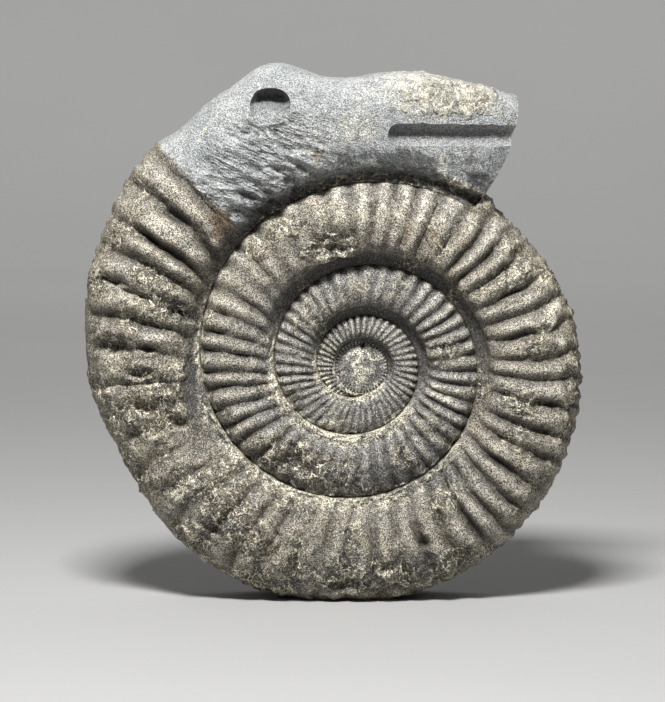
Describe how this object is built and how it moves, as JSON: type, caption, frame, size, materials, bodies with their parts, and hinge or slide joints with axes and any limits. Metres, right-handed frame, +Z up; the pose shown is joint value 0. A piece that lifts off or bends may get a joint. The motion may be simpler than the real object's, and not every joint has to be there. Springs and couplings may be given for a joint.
{
  "type": "dactylioceras ammonite with carved head",
  "caption": "Ribbed fossil ammonite in solid stone, its mouth end carved as a snake-like head with an eye hole and a mouth groove; stands on its edge.",
  "frame": {"origin": "on the flat spot that the stone stands on, straight below the coil's axis, in the coil's middle plane", "axes": "+Z up, -Y towards the viewer of the face in the picture, +X towards the end of the snout; the coil's axis lies along Y"},
  "size_m": [0.0939, 0.0234, 0.1016],
  "materials": {
    "stone": "matte, fine grained, with darker grooves between paler ribs"
  },
  "bodies": {
    "root": {"ammonite": "stone"}
  },
  "joints": []
}
